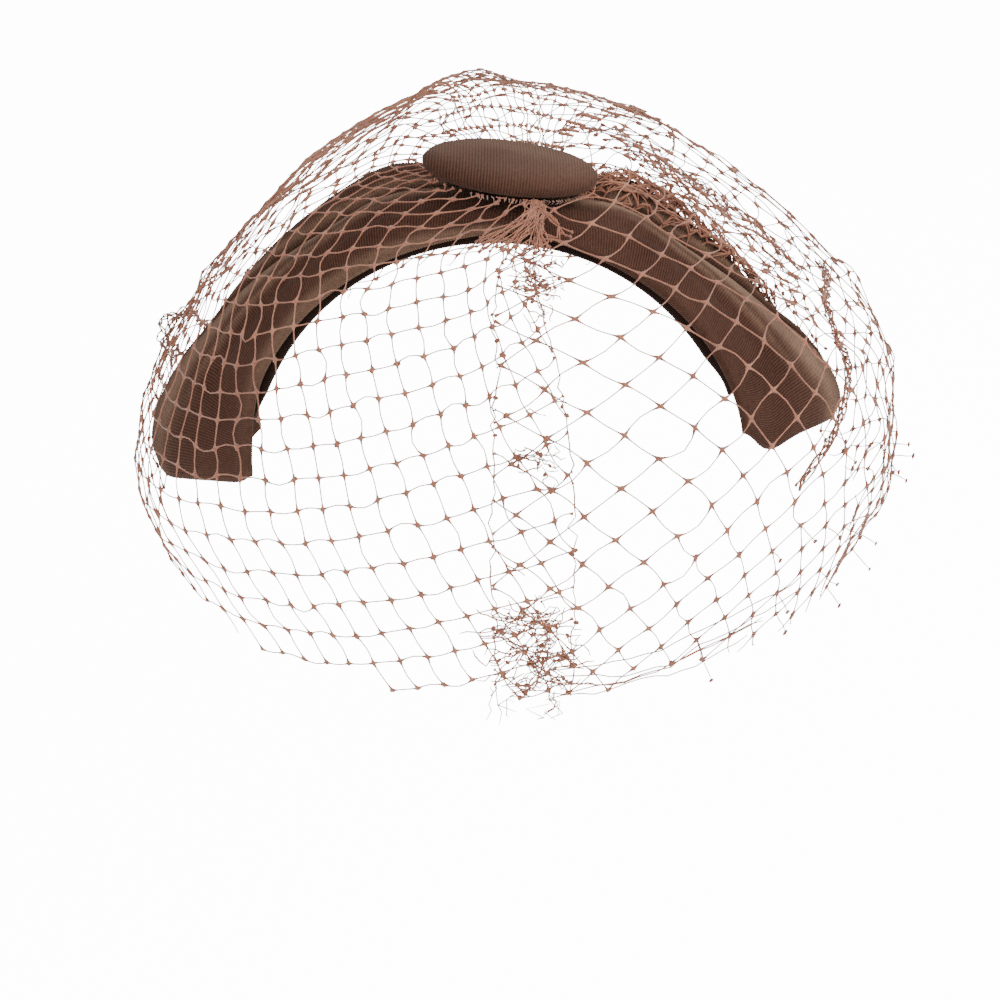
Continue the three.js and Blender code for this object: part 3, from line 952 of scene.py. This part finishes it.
def strandBetween(net, start, end, bow, over, cut=False):
    (fromTurn, fromRun), (toTurn, toRun) = start, end
    spots = [netPoint(mixed(fromTurn, toTurn, s), mixed(fromRun, toRun, s)) for s in strandShares]
    chord = spots[-1][0] - spots[0][0]
    side = chord.cross(spots[4][1]).normalized()
    path = []
    for (point, out), share in zip(spots, strandShares):
        path.append(point + out * over + side * bow * math.sin(math.pi * share))
    radii = [veil["thread"] * swell for swell in strandSwell]
    if cut:
        path, radii = path[:6], radii[:5] + [veil["thread"] * 0.8]
    net.strand(path, radii)


# "nets" holds the threads of each piece and the degrees that it starts at
def makeNet(nets, cornerAt, ends, over):
    first, last = ends
    corners = {}
    for i in range(-80, 60):
        for j in range(-24, 36):
            degrees, run = cornerAt(i, j)
            if first <= degrees <= last and collarRun <= run < hemRun(degrees / 360) - 1 * mm:
                corners[i, j] = (degrees, run)
    for (i, j), (degrees, run) in corners.items():
        net = [threads for threads, start in nets if degrees >= start][-1]
        point, out = netPoint(degrees, run)
        net.knot(point + out * over, out, veil["knot"] * net.draw.uniform(0.8, 1.25))
        for di, dj in ((1, 0), (-1, 0), (0, 1), (0, -1)):
            other, run2 = cornerAt(i + di, j + dj)
            bow = net.draw.gauss(0, 0.7 * mm)
            loose = eased(20, 45, degrees) * (1 - eased(170, 200, degrees))
            if (i + di, j + dj) in corners:
                if di + dj > 0:
                    strandBetween(net, (degrees, run), (other, run2), bow, over)
            elif run2 <= collarRun:
                share = (run - collarRun) / (run - run2)
                strandBetween(net, (degrees, run), (mixed(degrees, other, share), collarRun), bow, over)
            elif not first <= other <= last:
                share = ((first if other < first else last) - degrees) / (other - degrees)
                end = (mixed(degrees, other, share), mixed(run, run2, share))
                strandBetween(net, (degrees, run), end, bow * share, over)
            elif net.draw.random() < 0.12 + 0.5 * loose:
                strandBetween(net, (degrees, run), (other, run2), bow, over, cut=True)


def edgeThread(net, degrees, over):           # the thread that runs down a cut edge of the net
    path, radii = [], []
    run, last = collarRun, hemRun(degrees / 360)
    while run < last:
        point, out = netPoint(degrees + net.draw.gauss(0, 0.35), run)
        path.append(point + out * over)
        radii.append(veil["thread"] * net.draw.uniform(0.9, 1.3))
        run += bubble["edgeStep"]
        if net.draw.random() < 0.14:
            net.knot(path[-1], out, veil["knot"] * net.draw.uniform(0.7, 1.1))
    net.strand(path, radii)


# A bit of net drawn up into a tangle
def crumple(net, degrees, run, reach, count, tall):
    middle, out = bubblePoint(degrees, run)
    down = (bubblePoint(degrees, run + 3 * mm)[0] - middle).normalized()
    side = down.cross(out)
    for _ in range(count):
        start = [net.draw.gauss(0, 0.5) for _ in range(3)]
        heading = net.draw.uniform(0, 6.3)
        path = []
        for _ in range(net.draw.randint(5, 8)):
            heading += net.draw.gauss(0, 0.8)
            start[0] += 0.34 * math.cos(heading)
            start[1] += 0.34 * math.sin(heading)
            start[2] += net.draw.gauss(0, 0.1)
            offset = side * start[0] + down * start[1] * tall
            path.append(middle + offset * reach + out * (abs(start[2]) * reach * 0.45 + 0.3 * mm))
        net.wisp(path, net.draw.uniform(0.9, 1.25))
        if net.draw.random() < 0.6:
            net.knot(path[2], out, veil["knot"] * net.draw.uniform(0.6, 1))


right, back, left = Threads(11), Threads(12), Threads(13)
makeNet([(right, 0)], rightCorner, netRight["ends"], 0)
for degrees in netRight["ends"]:
    edgeThread(right, degrees, 0)
makeNet([(back, 0), (left, netLeft["climbs"])], leftCorner, netLeft["ends"], netLeft["over"])
edgeThread(left, netLeft["ends"][1], netLeft["over"])
right.build("net_right", "veil")
back.build("net_back", "veil")
left.build("net_left", "veil")
print("net made")


frontSeam = {
    "fan": 27,                                # strands that spread from under the button
    "fanDegrees": 19,
    "bridges": 9,                             # short strands between the lapped edges
    "hemRows": 5,
    "hemGap": 2.3,                            # millimetres from row to row
    "looseEnds": 9,
    "crumples": (                             # degrees, run and reach in mm, strands and how tall
        (8, 42, 3.4, 18, 1), (9, 51, 3.4, 34, 1), (6, 101, 4.4, 16, 0.7),
        (4, 145, 6, 30, 0.6), (6, 152, 6.5, 46, 0.9), (6.5, 161, 5, 26, 0.8),
    ),
}


def makeSeam():                               # the gathers, tangles and doubled strands down the front
    net = Threads(21)
    draw = net.draw
    half = (frontSeam["fan"] - 1) / 2
    for k in range(frontSeam["fan"]):
        away = (k - half) / half
        degrees = veil["seam"] + away * frontSeam["fanDegrees"] + draw.gauss(0, 3)
        length = draw.uniform(15, 23) * mm * (1 - 0.25 * abs(away))
        path, radii = [], []
        for share in (0, 0.14, 0.3, 0.5, 0.7, 0.86, 1):
            at = mixed(veil["seam"] + away * 9, degrees, share)
            point, out = bubblePoint(at, collarRun + length * share)
            sway = Vector((draw.gauss(0, 0.9 * mm), 0, 0))
            path.append(point + sway + out * (0.4 * mm + 1.8 * mm * math.sin(math.pi * share)))
            radii.append(veil["thread"] * draw.uniform(0.8, 1.2))
        net.strand(path, radii)
        net.knot(path[-1], out, veil["knot"] * 0.8)
        if k % 2:
            net.knot(path[3], out, veil["knot"] * 0.8)
        if k:
            loopStart, loopEnd = path[-2], before[-2]
            dip = (loopStart + loopEnd) / 2 + (path[-1] - path[-3]) * draw.uniform(0.3, 0.8)
            net.wisp([loopStart, mixed(loopStart, dip, 0.6), dip, mixed(loopEnd, dip, 0.6), loopEnd], 1.1)
        before = path
    for degrees, run, reach, count, tall in frontSeam["crumples"]:
        crumple(net, degrees, run * mm, reach * mm, count, tall)
    for _ in range(frontSeam["bridges"]):
        run = draw.uniform(55, 160) * mm
        start = draw.uniform(1, 7)
        path = []
        for step in range(5):
            point, out = netPoint(start + step * draw.uniform(0.6, 1.1), run)
            path.append(point + out * 0.7 * mm)
            run += draw.gauss(0.3, 1.3) * mm
        net.wisp(path, 1.1)
    for row in range(frontSeam["hemRows"]):   # the hem drawn into rows, mostly over the right
        at, last = veil["seam"] + 2, draw.uniform(38, 52)
        run, path = hemRun(0.03) - (1 + frontSeam["hemGap"] * row) * mm, []
        while at < last:
            point, out = netPoint(at, min(run, hemRun(at / 360)))
            path.append(point + out * draw.uniform(0.3, 1.2) * mm)
            at += 2.2
            run += draw.gauss(0, 0.7) * mm
        net.wisp(path, 1.05)
    for _ in range(frontSeam["looseEnds"]):   # below the hem
        at, drop = draw.uniform(-1, 9), draw.uniform(5, 13) * mm
        foot, out = netPoint(at, hemRun(0.01) - draw.uniform(0, 6) * mm)
        path = []
        for step in range(5):
            path.append(foot + Vector((draw.gauss(0, 1.6) * mm, draw.gauss(0, 1) * mm, -drop * step / 4)))
        net.wisp(path, 0.9)
    net.build("net_seam", "veil")


makeSeam()
print("front seam made")


pile = {
    "across": 23,
    "along": 22,
    "degrees": (15, 66),                      # where it starts and ends along the fold
    "depth": (2.5, 17.5),                     # its middle line, in millimetres behind the crown
    "half": (9, 8),                           # half its width, in millimetres
}


def makePile():                               # the net bunched along the back fold
    net = Threads(31)
    draw = net.draw
    across, along = pile["across"], pile["along"]
    spots = {}
    for i in range(along + 1):
        share = i / along
        angle = math.radians(mixed(*pile["degrees"], share))
        middle = mixed(*pile["depth"], share) * mm
        width = mixed(*pile["half"], share) * mm * (0.65 + 0.35 * math.sin(math.pi * share))
        for j in range(across):
            depth = middle + (j / (across - 1) - 0.5) * 2 * width + draw.gauss(0, 0.9) * mm
            turned = angle + draw.gauss(0, 0.02)
            top = foldTop(turned, depth) + (0.8 + abs(draw.gauss(0, 1.5))) * mm
            spots[i, j] = place(turned, depth, top)
    for (i, j), spot in spots.items():
        if (i + j) % 2:
            continue
        out = headAt(math.asin(min(1, spot.x / head["halfWidth"])))[1]
        net.knot(spot, out, veil["knot"] * draw.uniform(0.6, 1))
        for di, dj in ((1, 1), (1, -1), (-1, 1), (-1, -1)):
            end = spots.get((i + di, j + dj))
            if end is None:
                continue
            between = (spot + end) / 2 + Vector((0, draw.gauss(0, 0.8 * mm), abs(draw.gauss(0, 1.0)) * mm))
            path = [spot, mixed(spot, between, 0.5), between, mixed(between, end, 0.5), end]
            path = [p + out * 0.3 * mm * math.sin(k * math.pi / 4) for k, p in enumerate(path)]
            thin = veil["thread"]
            net.strand(path, [thin * 1.7, thin * 1.1, thin, thin * 1.1, thin * 1.7])
    net.build("net_pile", "veil_gather")


makePile()
print("net pile made")


# The net's second layer over the right, with its bunched edge, and the loose ends beyond it

layer = {
    "at": (44, 60, 72, 87, 105, 125, 152),    # degrees round from the front
    "edge": (130, 117, 109, 102, 112, 122, 118),    # its bunched edge, as a run of net in mm
    "firstRun": 44,                           # in millimetres, as its row step is
    "rows": 12,
    "columns": 24,
    "columnDegrees": 4.6,
    "rowRun": 7.4,
    "inset": 4.5 * mm,                        # how far inside the bubble its edge lies
    "ropeDegrees": (45, 112),
    "ropeStrands": 6,
    "ropeSteps": 46,
    "ropeThick": 0.9 * mm,
    "looseEnds": 30,
    "looseBeyond": 55 * mm,                   # they start at knots out to the right and below
    "looseBelow": -62 * mm,
}


def layerPoint(degrees, run, inset):
    point, out = bubblePoint(degrees, run, 0.8)
    return point - out * inset, out


def makeLayer():
    net = Threads(41)
    draw = net.draw
    spots = {}
    first, last = layer["at"][0], layer["at"][-1]
    for j in range(layer["rows"]):
        for i in range(layer["columns"]):
            degrees = first + layer["columnDegrees"] * (i + j % 2 / 2)
            run = (layer["firstRun"] + layer["rowRun"] * j) * mm
            edge = float(np.interp(degrees, layer["at"], layer["edge"])) * mm
            if run > edge or degrees > last or degrees < mixed(98, 70, eased(70 * mm, 105 * mm, run)):
                continue
            inset = (2 + 8 * eased(40 * mm, 90 * mm, run)) * mm
            wobble = noise.noise_vector(Vector((i * 0.9, j * 0.8, 4))) * 2.2 * mm
            point, out = layerPoint(degrees + draw.gauss(0, 0.7), run + draw.gauss(0, 0.9) * mm, inset)
            spots[2 * i + j % 2, j] = (point + wobble, out)
    for (i, j), (point, out) in spots.items():
        net.knot(point, out, veil["knot"] * draw.uniform(0.8, 1.2))
        for di in (-1, 1):
            end = spots.get((i + di, j + 1))
            if end is None:
                continue
            bow = Vector([draw.gauss(0, 0.9 * mm) for _ in range(3)])
            path = [mixed(point, end[0], s) + bow * math.sin(math.pi * s) for s in strandShares]
            net.strand(path, [veil["thread"] * swell for swell in strandSwell])
    for turn in range(layer["ropeStrands"]):  # the rope along its edge
        phase, path, radii = turn * 2 * math.pi / layer["ropeStrands"], [], []
        for step in range(layer["ropeSteps"]):
            degrees = mixed(*layer["ropeDegrees"], step / (layer["ropeSteps"] - 1))
            edge = float(np.interp(degrees, layer["at"], layer["edge"])) * mm
            twist = phase + step * 0.8
            sideways, inwards = layer["ropeThick"] * math.cos(twist), layer["ropeThick"] * math.sin(twist)
            point, out = layerPoint(degrees, edge + sideways, layer["inset"] + inwards)
            path.append(point + Vector([draw.gauss(0, 0.25 * mm) for _ in range(3)]))
            radii.append(veil["thread"] * draw.uniform(0.9, 1.7))
            if draw.random() < 0.16:
                net.knot(path[-1], out, veil["knot"] * draw.uniform(0.7, 1.1))
        net.strand(path, radii)
    low = []
    for point, out, _ in right.knots:
        if point.x > layer["looseBeyond"] and point.z < layer["looseBelow"]:
            low.append((point, out))
    for point, out in draw.sample(low, layer["looseEnds"]):    # ends with a knot left on them
        away = out * draw.uniform(2.5, 6.5) + Vector((0, 0, draw.uniform(-5, 1)))
        path = []
        for share in (0, 0.3, 0.65, 1):
            wander = Vector([draw.gauss(0, 0.35 * mm) for _ in range(3)])
            path.append(point + (away * mm + wander) * share)
        net.wisp(path, 1.0)
        net.knot(path[-1], out, veil["knot"] * draw.uniform(0.9, 1.25))
    net.build("net_layer", "veil")


puff = {
    "middle": (-98, 20, -56),                 # in millimetres
    "axis": (-0.1, 0.87, -0.48),
    "rings": 8,
    "spokes": 12,
    "radius": 7.2,                            # in millimetres, as its taper and its steps are
    "taper": 0.22,
    "step": 3.4,
}


def makePuff():                               # the roll of net that stands out over the left end
    net = Threads(51)
    draw = net.draw
    middle = Vector(puff["middle"]) * mm
    axis = Vector(puff["axis"]).normalized()
    across = axis.cross(Vector((0, 0, 1))).normalized()
    upright = across.cross(axis)
    rings, spokes = puff["rings"], puff["spokes"]
    spots = {}
    for ring in range(rings):
        for spoke in range(spokes):
            angle = 2 * math.pi * (spoke + ring % 2 / 2) / spokes
            reach = (puff["radius"] - puff["taper"] * ring + draw.gauss(0, 0.7)) * mm
            turned = across * math.cos(angle) + upright * math.sin(angle)
            spots[ring, spoke] = middle + turned * reach + axis * (ring - 2.5) * puff["step"] * mm
    for (ring, spoke), point in spots.items():
        out = (point - middle).normalized()
        if draw.random() < 0.45:
            net.knot(point, out, veil["knot"] * draw.uniform(0.6, 0.9))
        for step in (0, 1):
            end = spots.get((ring + 1, (spoke + step - 1 + ring % 2) % spokes))
            if end is None:
                continue
            bow = out * abs(draw.gauss(0, 0.8 * mm))
            path = [mixed(point, end, s) + bow * math.sin(math.pi * s) for s in (0, 0.15, 0.5, 0.85, 1)]
            net.strand(path, [veil["thread"] * swell for swell in (1.9, 1.4, 1.2, 1.4, 1.9)])
    net.build("net_puff", "veil")


makeLayer()
makePuff()
print("net layers made")


stitches = {
    "count": 34,
    "degrees": (-118, -18),                   # round the button, from its right end
    "reach": 0.885,                           # in half widths of the button
    "heights": (-0.335, -0.36, -0.47),        # in thicknesses of the button
    "radii": (0.16 * mm, 0.2 * mm, 0.14 * mm),
}


def makeStitches():                           # where the cover is drawn together under the button's front
    thread = Threads(61)
    top, middle, foot = stitches["heights"]
    for k in range(stitches["count"]):
        angle = math.radians(mixed(*stitches["degrees"], k / (stitches["count"] - 1)))
        slanted = angle + thread.draw.gauss(0.02, 0.02)
        reach = stitches["reach"] + thread.draw.gauss(0, 0.012)
        ends = [buttonPoint(reach, top, angle), buttonPoint(reach + 0.02, middle, slanted),
                buttonPoint(reach - 0.02, foot, slanted)]
        thread.strand([buttonTurn @ end + buttonPlace for end in ends], list(stitches["radii"]))
    thread.build("button_stitches", None)


makeStitches()
print("stitches made")
